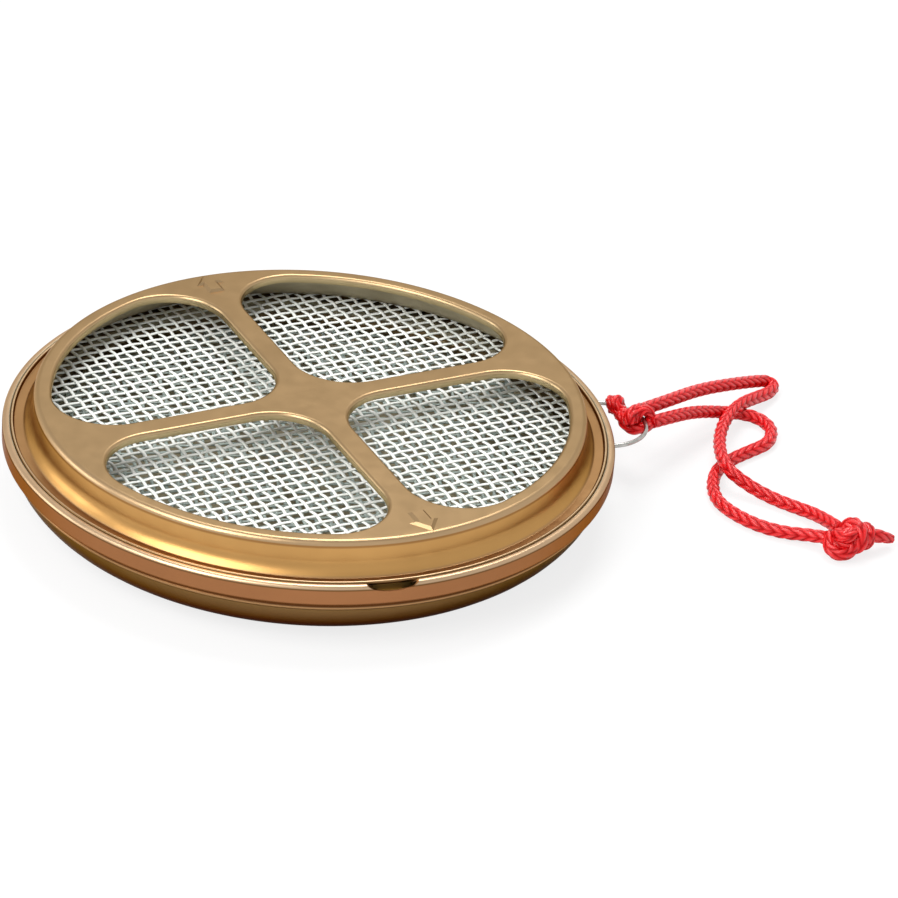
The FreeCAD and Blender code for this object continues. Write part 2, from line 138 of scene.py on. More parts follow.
ARROW_MIDDLE = 61.7 * MM
ARROW_LENGTH = 9.4 * MM
ARROW_HEAD_WIDTH = 7.8 * MM
ARROW_TAIL_WIDTH = 4.4 * MM
ARROW_SLOPE = 0.8 * MM
ARROW_RISE = 0.6 * MM
ARROW_ROOT = 0.05 * MM
LUG_WIDTH = 6.4 * MM
LUG_REACH = 1.4 * MM
LUG_HEIGHT = 1.9 * MM
LUG_EDGE = 0.4 * MM
LUG_EDGE_STEPS = 3

# Net
NET_PITCH = 3.05 * MM
THREAD_WIDTH = 0.8 * MM
THREAD_THICK = 0.27 * MM
THREAD_WAVES = (0.26 * MM, 0.1 * MM)
THREAD_CROWN = 0.06 * MM
THREAD_DRIFT = 0.13 * MM
THREAD_FACES_ACROSS = 2
THREAD_FACES_PER_CELL = 3
UPPER_NET_ANGLE = math.radians(30.4)
LOWER_NET_ANGLE = math.radians(12.0)
NET_SEED = 4
LID_NET_RADIUS = 71.7 * MM
LID_NET_HEIGHT = 16.6 * MM
BASE_NET_RADIUS = 71.2 * MM
BASE_NET_HEIGHT = 8.0 * MM

# Cord
CORD = 3.2 * MM
CORD_SIDES = 42
CORD_STEP = 0.16 * MM
BRAID_COLUMNS = 6
BRAID_PITCH = 2.9 * MM
BRAID_RISE = 1.0
BRAID_PROUD = 0.1 * MM
BRAID_DEPTH = 0.32 * MM
BRAID_EDGE_SHARE = 0.25
BRAID_EDGE_HEIGHT_SHARE = 0.45


def in_metres(points):
    return [Vector(point) * MM for point in points]


REAR_ROUTE = in_metres([
    (83.5, 24.1, 15.2),
    (89.0, 30.6, 13.9),
    (98.4, 44.2, 10.4),
    (107.7, 54.1, 7.2),
    (114.4, 61.8, 4.2),
    (118.2, 65.6, 2.6),
    (120.2, 64.2, 1.8),
    (118.6, 60.0, 2.1),
    (114.6, 54.6, 3.4),
    (110.2, 48.2, 5.0),
    (106.2, 40.8, 5.4),
    (104.1, 33.7, 4.9),
    (103.2, 26.6, 5.0),
    (103.4, 18.6, 5.4),
    (105.2, 12.6, 5.0),
    (111.0, 9.2, 2.7),
    (116.6, 6.0, 1.7),
    (121.6, 2.7, 1.8),
    (126.8, -1.8, 2.6),
    (130.6, -10.0, 4.4),
])
FRONT_ROUTE = in_metres([
    (84.9, 18.6, 14.4),
    (90.2, 24.8, 12.8),
    (96.7, 34.2, 9.4),
    (103.9, 42.3, 5.4),
    (111.0, 47.6, 2.3),
    (115.5, 46.5, 1.7),
    (118.2, 41.2, 1.7),
    (116.8, 34.2, 1.7),
    (112.0, 29.8, 1.7),
    (106.4, 24.6, 1.7),
    (102.5, 19.0, 1.7),
    (100.9, 11.2, 1.7),
    (101.7, 3.6, 1.7),
    (105.8, -2.4, 1.7),
    (111.6, -7.2, 1.7),
    (117.9, -9.6, 1.7),
    (124.2, -11.0, 2.4),
    (129.4, -14.2, 3.6),
])
# Each turn of the hitch: its thickness as a share of the cord's, and its route
HITCH_TURNS = [
    (1.0, in_metres([
        (84.9, 18.6, 14.4),
        (83.6, 18.4, 13.3),
        (82.2, 18.2, 12.8),
        (80.4, 17.8, 12.6),
        (78.6, 18.9, 12.9),
        (77.7, 21.6, 13.6),
        (76.4, 23.9, 14.5),
        (75.2, 24.2, 15.5),
        (74.9, 25.2, 16.0),
        (75.1, 26.1, 15.5),
        (75.3, 26.1, 14.3),
        (75.7, 24.6, 13.9),
    ])),
    (0.94, in_metres([
        (77.4, 22.7, 13.6),
        (76.8, 23.2, 14.8),
        (75.9, 23.7, 15.8),
        (76.2, 24.8, 16.4),
        (76.7, 25.8, 15.8),
        (77.0, 25.6, 14.3),
        (77.3, 24.3, 13.8),
    ])),
    (1.3, in_metres([
        (77.4, 23.2, 13.9),
        (78.6, 21.6, 13.7),
        (80.0, 20.2, 13.9),
        (81.6, 19.4, 14.0),
    ])),
    (0.9, in_metres([
        (76.2, 25.6, 13.8),
        (77.4, 24.6, 13.6),
        (78.8, 23.2, 13.6),
        (80.2, 22.2, 13.4),
        (80.6, 20.6, 13.2),
    ])),
    (1.0, in_metres([
        (83.5, 24.1, 15.2),
        (81.7, 20.9, 16.6),
        (80.0, 18.8, 17.0),
        (79.0, 17.4, 16.2),
        (79.3, 16.9, 14.6),
    ])),
    (0.84, in_metres([
        (80.7, 18.7, 14.6),
        (81.1, 18.6, 16.6),
        (82.5, 19.6, 17.2),
        (84.0, 20.0, 16.4),
        (84.7, 20.2, 14.8),
        (84.2, 19.3, 13.6),
    ])),
]
# The same for the knot, and then its tail
KNOT_TURNS = [
    (1.7, in_metres([
        (131.2, -14.2, 3.9),
        (133.4, -13.8, 4.6),
        (135.6, -13.6, 4.4),
        (137.6, -13.2, 4.0),
    ])),
    (1.3, in_metres([
        (129.8, -15.2, 3.0),
        (131.0, -16.0, 3.2),
        (132.4, -16.4, 3.4),
        (134.0, -15.6, 3.6),
    ])),
    (1.05, in_metres([
        (128.6, -13.2, 4.4),
        (127.9, -15.4, 3.2),
        (128.6, -17.3, 2.1),
        (130.8, -18.7, 2.0),
        (132.8, -17.9, 2.4),
        (133.9, -16.4, 4.0),
        (133.6, -14.6, 5.8),
        (132.4, -12.2, 6.0),
    ])),
    (1.15, in_metres([
        (132.2, -10.4, 4.0),
        (132.8, -10.6, 5.8),
        (134.2, -12.2, 7.0),
        (135.4, -14.8, 6.7),
        (135.6, -16.2, 5.0),
        (135.2, -16.2, 3.0),
        (134.2, -15.0, 2.3),
    ])),
    (1.0, in_metres([
        (136.6, -9.4, 3.6),
        (137.0, -10.6, 5.2),
        (137.6, -12.2, 5.8),
        (137.8, -13.8, 4.8),
        (137.4, -14.4, 3.2),
        (136.8, -13.4, 2.4),
    ])),
    (0.95, in_metres([
        (130.0, -13.4, 4.8),
        (130.2, -16.0, 5.6),
        (131.6, -17.4, 6.0),
        (133.2, -16.4, 6.6),
        (134.4, -14.2, 6.4),
    ])),
]
TAIL_ROUTE = in_metres([
    (135.6, -13.4, 4.4),
    (138.9, -12.6, 4.4),
    (141.2, -11.4, 3.6),
    (143.0, -10.4, 2.6),
    (144.0, -9.9, 2.2),
])
TAIL_THICKNESS = 1.15
TAIL_END_SHARE = 0.62

# Colours
BLACK = (0, 0, 0)
WHITE = (1, 1, 1)
TOP_BRONZE = (0.37, 0.248, 0.13)
# Window lips: a painted highlight under the roll, and painted shade towards the lip's bottom
LIP_PAINTED_HIGHLIGHT = (0.66, 0.51, 0.29)
LIP_PAINTED_SHADE = (0.42, 0.32, 0.17)
# The skirt, olive painted lighter: painted light for the shaded notch
SKIRT_PAINTED_LIGHT = (0.50, 0.36, 0.16)
SHELF_OLIVE = (0.37, 0.21, 0.095)
WALL_GOLD = (0.49, 0.27, 0.09)
# A painted shade line just under the shoulder
SHOULDER_PAINTED_SHADE_LINE = (0.30, 0.15, 0.05)
# A painted highlight on the shoulder's rounding
SHOULDER_PAINTED_HIGHLIGHT = (0.46, 0.31, 0.17)
# Bead: a painted highlight on its crest, painted shade on its flanks and in the groove
BEAD_PAINTED_HIGHLIGHT = (0.56, 0.40, 0.24)
BEAD_PAINTED_SHADE = (0.20, 0.11, 0.045)
BAND_COPPER = (0.305, 0.132, 0.054)
# Rim: a painted highlight on the roll, with a painted shade line under it
RIM_PAINTED_HIGHLIGHT = (0.52, 0.36, 0.22)
RIM_PAINTED_SHADE_LINE = (0.16, 0.075, 0.028)
BOWL_OLIVE = (0.25, 0.145, 0.055)
# The bowl's lower part is darker: painted shade
BOWL_PAINTED_SHADE = (0.13, 0.052, 0.026)
# Crease: a painted shadow under the band's step, a painted highlight on the crease's ridge
CREASE_PAINTED_SHADOW = (0.10, 0.035, 0.010)
CREASE_PAINTED_HIGHLIGHT = (0.36, 0.20, 0.09)
LACQUER_SHADE = (0.9, 0.9, 0.9)
EDGE_PALE_SHARE = 0.28
# Inside tin: dulled by smoke, and paler than the lacquer as painted light in the shaded hollows
SMOKED_TIN_PAINTED_LIGHT_TONES = ((0.34, 0.29, 0.19), (0.46, 0.40, 0.27))
PLAIN_TIN_TONES = ((0.22, 0.17, 0.10), (0.30, 0.24, 0.15))
ZINC_TONES = ((0.34, 0.335, 0.31), (0.46, 0.455, 0.43))
FRESH_FIBRE_TONES = ((0.80, 0.83, 0.78), (0.92, 0.93, 0.89))
# The lower net's fibre: darker for smoke, and as painted shade under the lid
SMOKED_PAINTED_SHADE_FIBRE_TONES = ((0.32, 0.38, 0.35), (0.58, 0.66, 0.62))
# The cord's red: painted shade deep between strands, a painted highlight on their tops
CORD_GROOVE_PAINTED_SHADE = (0.36, 0.002, 0.004)
CORD_RED = (0.66, 0.004, 0.006)
CORD_TOP_PAINTED_HIGHLIGHT = (0.86, 0.008, 0.011)
CORD_SHADE = (0.82, 0.82, 0.82)
FLOOR_WHITE = (0.9, 0.9, 0.9)

# Where the lacquer's colours change, up the base and up the lid
BOWL_SHADE_SHARE = 0.35
CREASE_HIGHLIGHT_BELOW_SHARE = 1 / 2
CREASE_HIGHLIGHT_ABOVE_SHARE = 1 / 3
RIM_PAINTED_LINE_SHARES = (0.95, 0.82, 0.68, 0.5)
SHOULDER_SHADE_LINE_BELOW = 0.35 * MM
SHOULDER_SHADE_LINE_ABOVE = 0.25 * MM
SHOULDER_HIGHLIGHT_ABOVE = 0.5 * MM
TOP_EDGE_BLEND = 0.4 * MM
LIP_HIGHLIGHT_SHARE = 1 / 4
BEAD_HIGHLIGHT_SHARE = 1 / 4

# Finishes: scales are in patches per metre, and a grain's depth is how far it stands up
MOTTLE_SPREAD = (0.32, 0.68)
MOTTLE_DETAIL = 3.0
LACQUER_TONE_SCALE = 42.0
LACQUER_PATCH_SCALE = 260.0
LACQUER_ROUGHNESS = (0.29, 0.35)
LACQUER_GRAIN = {"scale": 2200.0, "detail": 2.0, "strength": 0.1, "depth": 0.04 * MM}
LACQUER_WAVES = {"scale": 70.0, "detail": 1.0, "strength": 0.18, "depth": 0.3 * MM}
SMOKED_TIN_PAINTED_LIGHT_FINISH = {"scale": 90.0, "metallic": 0.4, "roughness": 0.5}
PLAIN_TIN_FINISH = {"scale": 120.0, "metallic": 1.0, "roughness": 0.42}
PLAIN_TIN_GRAIN = {"scale": 1500.0, "detail": 3.0, "strength": 0.15, "depth": 0.05 * MM}
ZINC_FINISH = {"scale": 700.0, "metallic": 1.0, "roughness": 0.2}
ZINC_GRAIN = {"scale": 2500.0, "detail": 3.0, "strength": 0.2, "depth": 0.05 * MM}
FIBRE_FINISH = {"scale": 240.0, "metallic": 0.0, "roughness": 0.5}
FIBRE_GRAIN = {"scale": 5000.0, "detail": 4.0, "strength": 0.35, "depth": 0.05 * MM}
CORD_TONE_SCALE = 420.0
CORD_ROUGHNESS = 0.28
CORD_SHINE = 0.6
CORD_GRAIN = {"scale": 3800.0, "detail": 4.0, "strength": 0.45, "depth": 0.06 * MM}


# Shared mesh helpers

def new_piece(name, mesh, material):
    piece = bpy.data.objects.new(name, mesh)
    bpy.context.scene.collection.objects.link(piece)
    piece.data.materials.append(material)
    return piece


def mesh_from(name, shape):
    mesh = bpy.data.meshes.new(name)
    shape.to_mesh(mesh)
    shape.free()
    return mesh


def smooth(mesh):
    mesh.polygons.foreach_set("use_smooth", [True] * len(mesh.polygons))


def finished_mesh(piece):
    """The piece's mesh with its modifiers applied. The piece itself goes."""
    graph = bpy.context.evaluated_depsgraph_get()
    mesh = bpy.data.meshes.new_from_object(piece.evaluated_get(graph), depsgraph=graph)
    bpy.data.objects.remove(piece)
    return mesh


def turned_about_z(shape, verts, angle):
    bmesh.ops.rotate(shape, verts=verts, matrix=Matrix.Rotation(angle, 3, "Z"))


def even_shading(piece):
    """Smooth shading that follows the large faces and keeps sharp edges."""
    shade = piece.modifiers.new("even_shading", "WEIGHTED_NORMAL")
    shade.mode = "FACE_AREA"
    shade.weight = NORMAL_WEIGHT
    shade.keep_sharp = True


# Shared shader helpers

def opaque(colour):
    return (*colour, 1.0)


def feed(tree, socket, value):
    """Link a socket to another, or set it to a number or a colour."""
    if isinstance(value, bpy.types.NodeSocket):
        tree.links.new(value, socket)
    else:
        socket.default_value = value


def new_group(name, inputs, outputs):
    """A shader node group with its ends, from (label, kind, value) and (label, kind)."""
    group = bpy.data.node_groups.new(name, "ShaderNodeTree")
    for label, kind, value in inputs:
        socket = group.interface.new_socket(name=label, in_out="INPUT", socket_type=kind)
        socket.default_value = value
    for label, kind in outputs:
        group.interface.new_socket(name=label, in_out="OUTPUT", socket_type=kind)
    return group, group.nodes.new("NodeGroupInput"), group.nodes.new("NodeGroupOutput")


def placed(tree, group, **values):
    """The group as a node in a material, with values or links for its named inputs."""
    made = tree.nodes.new("ShaderNodeGroup")
    made.node_tree = group
    for label, value in values.items():
        feed(tree, made.inputs[label], value)
    return made


def result_of(tree, operation, *values):
    """The result of one arithmetic step on numbers or sockets."""
    made = tree.nodes.new("ShaderNodeMath")
    made.operation = operation
    for socket, value in zip(made.inputs, values):
        feed(tree, socket, value)
    return made.outputs[0]


def ramp(tree, value, stops):
    """A colour ramp whose stops are (value, colour), at most 32 of them."""
    low, high = stops[0][0], stops[-1][0]
    span = tree.nodes.new("ShaderNodeMapRange")
    span.inputs["From Min"].default_value = low
    span.inputs["From Max"].default_value = high
    feed(tree, span.inputs["Value"], value)
    made = tree.nodes.new("ShaderNodeValToRGB")
    band = made.color_ramp
    while len(band.elements) < len(stops):
        band.elements.new(1.0)
    for element, (at, colour) in zip(band.elements, stops):
        element.position = (at - low) / (high - low)
        element.color = opaque(colour)
    tree.links.new(span.outputs["Result"], made.inputs["Fac"])
    return made.outputs["Color"]


def mixed(tree, share, first, second, blend="MIX"):
    """Two colours mixed by a share."""
    mix = tree.nodes.new("ShaderNodeMix")
    mix.data_type = "RGBA"
    mix.blend_type = blend
    share_in, = (s for s in mix.inputs if s.name == "Factor" and s.type == "VALUE")
    first_in, second_in = (s for s in mix.inputs if s.type == "RGBA")
    feed(tree, share_in, share)
    feed(tree, first_in, first)
    feed(tree, second_in, second)
    return next(s for s in mix.outputs if s.type == "RGBA")


def grain(tree, mottle, scale, detail, strength, depth, under=None):
    """The normal of a surface with raised patches, over another normal where one is given."""
    patches = placed(tree, mottle, Scale=scale, Detail=detail)
    made = tree.nodes.new("ShaderNodeBump")
    made.inputs["Strength"].default_value = strength
    made.inputs["Distance"].default_value = depth
    tree.links.new(patches.outputs["Value"], made.inputs["Height"])
    if under is not None:
        tree.links.new(under, made.inputs["Normal"])
    return made.outputs["Normal"]


def mixed_shaders(tree, share, first, second):
    """Two shaders' nodes mixed by a share."""
    mix = tree.nodes.new("ShaderNodeMixShader")
    tree.links.new(share, mix.inputs["Fac"])
    tree.links.new(first.outputs[0], mix.inputs[1])
    tree.links.new(second.outputs[0], mix.inputs[2])
    return mix


def new_material(name):
    material = bpy.data.materials.new(name)
    material.use_nodes = True
    return material, material.node_tree, material.node_tree.nodes["Principled BSDF"]


# Shared shader groups

def mottle_group():
    """Uneven patches between two colours, and the same patches as a value."""
    group, start, end = new_group("mottle", [
        ("Scale", "NodeSocketFloat", 1.0),
        ("Detail", "NodeSocketFloat", MOTTLE_DETAIL),
        ("Low", "NodeSocketColor", opaque(BLACK)),
        ("High", "NodeSocketColor", opaque(WHITE)),
    ], [("Colour", "NodeSocketColor"), ("Value", "NodeSocketFloat")])
    coords = group.nodes.new("ShaderNodeTexCoord")
    noise = group.nodes.new("ShaderNodeTexNoise")
    group.links.new(coords.outputs["Object"], noise.inputs["Vector"])
    group.links.new(start.outputs["Scale"], noise.inputs["Scale"])
    group.links.new(start.outputs["Detail"], noise.inputs["Detail"])
    spread = group.nodes.new("ShaderNodeMapRange")
    spread.inputs["From Min"].default_value = MOTTLE_SPREAD[0]
    spread.inputs["From Max"].default_value = MOTTLE_SPREAD[1]
    group.links.new(noise.outputs["Fac"], spread.inputs["Value"])
    value = spread.outputs["Result"]
    colour = mixed(group, value, start.outputs["Low"], start.outputs["High"])
    group.links.new(colour, end.inputs["Colour"])
    group.links.new(value, end.inputs["Value"])
    return group


def lacquer_group(mottle):
    """Satin lacquer on tinplate: uneven tone, fine grain and slow waves in the sheet."""
    group, start, end = new_group("lacquer", [
        ("Colour", "NodeSocketColor", opaque(TOP_BRONZE)),
    ], [
        ("Colour", "NodeSocketColor"),
        ("Roughness", "NodeSocketFloat"),
        ("Normal", "NodeSocketVector"),
    ])
    tone = placed(group, mottle, Scale=LACQUER_TONE_SCALE, Low=opaque(LACQUER_SHADE))
    colour = mixed(group, 1.0, start.outputs["Colour"], tone.outputs["Colour"], "MULTIPLY")
    patches = placed(group, mottle, Scale=LACQUER_PATCH_SCALE)
    rough = group.nodes.new("ShaderNodeMapRange")
    rough.inputs["To Min"].default_value = LACQUER_ROUGHNESS[0]
    rough.inputs["To Max"].default_value = LACQUER_ROUGHNESS[1]
    group.links.new(patches.outputs["Value"], rough.inputs["Value"])
    fine = grain(group, mottle, **LACQUER_GRAIN)
    group.links.new(grain(group, mottle, **LACQUER_WAVES, under=fine), end.inputs["Normal"])
    group.links.new(colour, end.inputs["Colour"])
    group.links.new(rough.outputs["Result"], end.inputs["Roughness"])
    return group


# Materials

def place_on_tin(tree):
    """Where a point lies on the tin: its distance from the axis and its height."""
    coords = tree.nodes.new("ShaderNodeTexCoord")
    split = tree.nodes.new("ShaderNodeSeparateXYZ")
    tree.links.new(coords.outputs["Object"], split.inputs["Vector"])
    squares = (result_of(tree, "MULTIPLY", split.outputs[i], split.outputs[i]) for i in "XY")
    radius = result_of(tree, "SQRT", result_of(tree, "ADD", *squares))
    return radius, split.outputs["Z"]


def lacquered(name, lacquer, tone_in):
    """Tinplate under a gold lacquer in the tone that tone_in works out."""
    material, tree, shader = new_material(name)
    tone = tone_in(tree)
    coat = placed(tree, lacquer, Colour=tone)
    tree.links.new(coat.outputs["Colour"], shader.inputs["Base Color"])
    tree.links.new(coat.outputs["Roughness"], shader.inputs["Roughness"])
    tree.links.new(coat.outputs["Normal"], shader.inputs["Normal"])
    shader.inputs["Metallic"].default_value = 1.0
    edge = mixed(tree, EDGE_PALE_SHARE, tone, opaque(WHITE))
    tree.links.new(edge, shader.inputs["Specular Tint"])
    return material


def base_tone(tree):
    """Olive bowl with painted shade low down, a crease with a painted highlight under a painted shadow,
    copper band, and a rim with a painted highlight above a painted shade line.
    """
    height = place_on_tin(tree)[1]
    crease = BAND_BOTTOM - CREASE_DROP + CREASE_HEIGHT / 2
    # Heights of the rim's painted shade line and painted highlight
    line = [RIM_TOP - share * RIM_CORNER for share in RIM_PAINTED_LINE_SHARES]
    return ramp(tree, height, [
        # Painted shade low on the bowl
        (0.0, BOWL_PAINTED_SHADE),
        (BOWL_SHADE_SHARE * BAND_BOTTOM, BOWL_PAINTED_SHADE),
        # The crease: a painted highlight, then a painted shadow up to the band's step
        (crease - CREASE_RISE, BOWL_OLIVE),
        (crease - CREASE_HIGHLIGHT_BELOW_SHARE * CREASE_RISE, CREASE_PAINTED_HIGHLIGHT),
        (crease + CREASE_HIGHLIGHT_ABOVE_SHARE * CREASE_RISE, CREASE_PAINTED_HIGHLIGHT),
        (crease + CREASE_RISE, CREASE_PAINTED_SHADOW),
        (BAND_BOTTOM, CREASE_PAINTED_SHADOW),
        (BAND_BOTTOM + BAND_CORNER / 2, BAND_COPPER),
        *zip(line, (BAND_COPPER, RIM_PAINTED_SHADE_LINE, RIM_PAINTED_SHADE_LINE, RIM_PAINTED_HIGHLIGHT)),
        (RIM_TOP, RIM_PAINTED_HIGHLIGHT),
    ])


def lid_tone(tree):
    """Bronze top, tan lips with a painted highlight and painted shade, golden wall with a painted shade
    line and a painted highlight at the shoulder, olive shelf, olive skirt painted lighter, and a bead
    with painted shade on its sides and a painted highlight on top.
    """
    radius, height = place_on_tin(tree)
    shoulder = LID_TOP - DOME_CORNER
    wall = ramp(tree, height, [
        (FLANGE_TOP, SHELF_OLIVE),
        (FLANGE_TOP + DOME_FOOT, WALL_GOLD),
        # Under the shoulder: a painted shade line
        (shoulder - SHOULDER_SHADE_LINE_BELOW, WALL_GOLD),
        (shoulder, SHOULDER_PAINTED_SHADE_LINE),
        (shoulder + SHOULDER_SHADE_LINE_ABOVE, SHOULDER_PAINTED_SHADE_LINE),
        # On the shoulder's rounding: a painted highlight
        (shoulder + SHOULDER_HIGHLIGHT_ABOVE, SHOULDER_PAINTED_HIGHLIGHT),
        (LID_TOP - TOP_EDGE_BLEND, SHOULDER_PAINTED_HIGHLIGHT),
        (LID_TOP, TOP_BRONZE),
    ])
    # Lips: a painted highlight under the roll, fading to painted shade at the lip's bottom
    flat = ramp(tree, height, [
        (LID_TOP - LIP_DEPTH, LIP_PAINTED_SHADE),
        (LID_TOP - LIP_ROLL, LIP_PAINTED_HIGHLIGHT),
        (LID_TOP - LIP_HIGHLIGHT_SHARE * LIP_ROLL, TOP_BRONZE),
    ])
    on_wall = ramp(tree, radius, [
        (WINDOW_RADIUS + LIP_ROLL, BLACK),
        (DOME_RADIUS - DOME_CORNER, WHITE),
    ])
    # The bead: painted shade on its flanks, a painted highlight on its crest
    bead = ramp(tree, height, [
        (FLANGE_TOP - SHEET, SKIRT_PAINTED_LIGHT),
        (FLANGE_TOP, BEAD_PAINTED_SHADE),
        (BEAD_TOP - BEAD_HIGHLIGHT_SHARE * BEAD_CORNER, BEAD_PAINTED_SHADE),
        (BEAD_TOP, BEAD_PAINTED_HIGHLIGHT),
    ])
    outside = ramp(tree, radius, [
        (BEAD_RADIUS - BEAD_FOOT, BLACK),
        (BEAD_RADIUS, WHITE),
    ])
    return mixed(tree, outside, mixed(tree, on_wall, flat, wall), bead)


def mottled(name, mottle, tones, scale, metallic, roughness):
    """A material in patches that lie between two tones."""
    material, tree, shader = new_material(name)
    low, high = tones
    tone = placed(tree, mottle, Scale=scale, Low=opaque(low), High=opaque(high))
    tree.links.new(tone.outputs["Colour"], shader.inputs["Base Color"])
    shader.inputs["Metallic"].default_value = metallic
    shader.inputs["Roughness"].default_value = roughness
    return material, tree, shader


def smoked_inside_painted_light(mottle):
    """Tinplate on the inside, dulled by smoke and ash, and pale as painted light where the hollows lie in
    shade.
    """
    return mottled("smoked_inside_painted_light", mottle, SMOKED_TIN_PAINTED_LIGHT_TONES, **SMOKED_TIN_PAINTED_LIGHT_FINISH)[0]


def plain_tin(mottle):
    """Uncoated tinplate, yellowed by smoke."""
    material, tree, shader = mottled("plain_tin", mottle, PLAIN_TIN_TONES, **PLAIN_TIN_FINISH)
    tree.links.new(grain(tree, mottle, **PLAIN_TIN_GRAIN), shader.inputs["Normal"])
    return material


def zinc_wire(mottle):
    """Bright zinc-coated wire."""
    material, tree, shader = mottled("zinc_wire", mottle, ZINC_TONES, **ZINC_FINISH)
    tree.links.new(grain(tree, mottle, **ZINC_GRAIN), shader.inputs["Normal"])
    return material


def glass_fibre(name, mottle, tones):
    """Glass-fibre yarn with its fine fibres raised."""
    material, tree, shader = mottled(name, mottle, tones, **FIBRE_FINISH)
    tree.links.new(grain(tree, mottle, **FIBRE_GRAIN), shader.inputs["Normal"])
    return material


def red_cord(mottle):
    """Red polyester. The braid's own height says how deep a point lies between strands: darker there as
    painted shade, lighter on the strands' tops as a painted highlight, and less shiny down in the grooves
    as painted shade.
    """
    material, tree, shader = new_material("red_cord")
    height = tree.nodes.new("ShaderNodeAttribute")
    height.attribute_name = "braid_height"
    # Painted shade in the grooves, a painted highlight on the strands' tops
    strand = ramp(tree, height.outputs["Fac"], [
        (0.0, CORD_GROOVE_PAINTED_SHADE),
        (0.5, CORD_RED),
        (1.0, CORD_TOP_PAINTED_HIGHLIGHT),
    ])
    tone = placed(tree, mottle, Scale=CORD_TONE_SCALE, Low=opaque(CORD_SHADE))
    colour = mixed(tree, 1.0, strand, tone.outputs["Colour"], "MULTIPLY")
    tree.links.new(colour, shader.inputs["Base Color"])
    shader.inputs["Roughness"].default_value = CORD_ROUGHNESS
    # The shine fades into the grooves: painted shade on the reflections
    shine = result_of(tree, "MULTIPLY", height.outputs["Fac"], CORD_SHINE)
    tree.links.new(shine, shader.inputs["Specular IOR Level"])
    tree.links.new(grain(tree, mottle, **CORD_GRAIN), shader.inputs["Normal"])
    return material


# Camera, light and floor

def turned_round(vector, axis, angle):
    return Matrix.Rotation(angle, 3, axis) @ vector


def place_camera():
    """The camera in front of the tin, turned a little off its aim as the photograph was."""
    aim = Vector((0, 0, CAMERA_AIM_HEIGHT))
    back = Vector((0, -math.cos(CAMERA_ELEVATION), math.sin(CAMERA_ELEVATION)))
    forward = -back
    right = forward.cross(UP).normalized()
    above = right.cross(forward)
    forward, right = (turned_round(v, above, CAMERA_YAW) for v in (forward, right))
    forward, above = (turned_round(v, right, CAMERA_PITCH) for v in (forward, above))
    right, above = (turned_round(v, forward, CAMERA_ROLL) for v in (right, above))
    camera = bpy.data.objects.new("camera", bpy.data.cameras.new("camera"))
    camera.data.sensor_width = SENSOR
    camera.data.lens = LENS
    turn = Matrix((right, above, -forward)).transposed().to_4x4()
    camera.matrix_world = Matrix.Translation(aim + back * CAMERA_DISTANCE) @ turn
    bpy.context.scene.collection.objects.link(camera)
    bpy.context.scene.camera = camera


def soft_lamp(name, place, size, power):
    """A round lamp that faces the tin."""
    light = bpy.data.lights.new(name, "AREA")
    light.energy = power
    light.shape = "DISK"
    light.size = size
    lamp = bpy.data.objects.new(name, light)
    lamp.location = place
    lamp.rotation_mode = "QUATERNION"
    lamp.rotation_quaternion = (-place).to_track_quat("-Z", "Y")
    bpy.context.scene.collection.objects.link(lamp)


def pale_world():
    """White to the camera and in low reflections, dimmer overhead and as a light."""
    world = bpy.data.worlds.new("studio")
    world.use_nodes = True
    bpy.context.scene.world = world
    tree = world.node_tree
    background = tree.nodes["Background"]
    background.inputs["Color"].default_value = opaque(WHITE)
    paths = tree.nodes.new("ShaderNodeLightPath").outputs
    mirrored = result_of(tree, "MAXIMUM", paths["Is Glossy Ray"], paths["Is Transmission Ray"])
    coords = tree.nodes.new("ShaderNodeTexCoord")
    direction = tree.nodes.new("ShaderNodeSeparateXYZ")
    tree.links.new(coords.outputs["Generated"], direction.inputs["Vector"])
    overhead = tree.nodes.new("ShaderNodeMapRange")
    overhead.inputs["From Min"].default_value = WORLD_DIM_TO
    overhead.inputs["From Max"].default_value = WORLD_DIM_FROM
    tree.links.new(direction.outputs["Z"], overhead.inputs["Value"])
    mirrored = result_of(tree, "MULTIPLY", mirrored, overhead.outputs["Result"])
    seen = result_of(tree, "MAXIMUM", paths["Is Camera Ray"], mirrored)
    strength = tree.nodes.new("ShaderNodeMapRange")
    strength.inputs["To Min"].default_value = WORLD_LIGHT
    tree.links.new(seen, strength.inputs["Value"])
    tree.links.new(strength.outputs["Result"], background.inputs["Strength"])


def pale_floor():
    """A pale floor that is white to the camera, keeps a soft shadow and is clear from below."""
    shape = bmesh.new()
    bmesh.ops.create_grid(shape, x_segments=1, y_segments=1, size=FLOOR_SIZE / 2,
                          matrix=Matrix.Translation(-UP * FLOOR_GAP))
    material, tree, shader = new_material("floor_white")
    shader.inputs["Base Color"].default_value = opaque(FLOOR_WHITE)
    shader.inputs["Roughness"].default_value = FLOOR_ROUGHNESS
    shader.inputs["Specular IOR Level"].default_value = 0.0
    paths = tree.nodes.new("ShaderNodeLightPath").outputs
    mirrored = result_of(tree, "MAXIMUM", paths["Is Glossy Ray"], paths["Is Transmission Ray"])
    shares = (result_of(tree, "MULTIPLY", paths["Is Camera Ray"], FLOOR_CAMERA_GLOW),
              result_of(tree, "MULTIPLY", mirrored, FLOOR_MIRRORED_GLOW))
    glow = tree.nodes.new("ShaderNodeEmission")
    upper = mixed_shaders(tree, result_of(tree, "ADD", *shares), shader, glow)
    from_below = tree.nodes.new("ShaderNodeNewGeometry").outputs["Backfacing"]
    clear = tree.nodes.new("ShaderNodeBsdfTransparent")
    sides = mixed_shaders(tree, from_below, upper, clear)
    tree.links.new(sides.outputs["Shader"], tree.nodes["Material Output"].inputs["Surface"])
    new_piece("floor", mesh_from("floor", shape), material)


# Cord

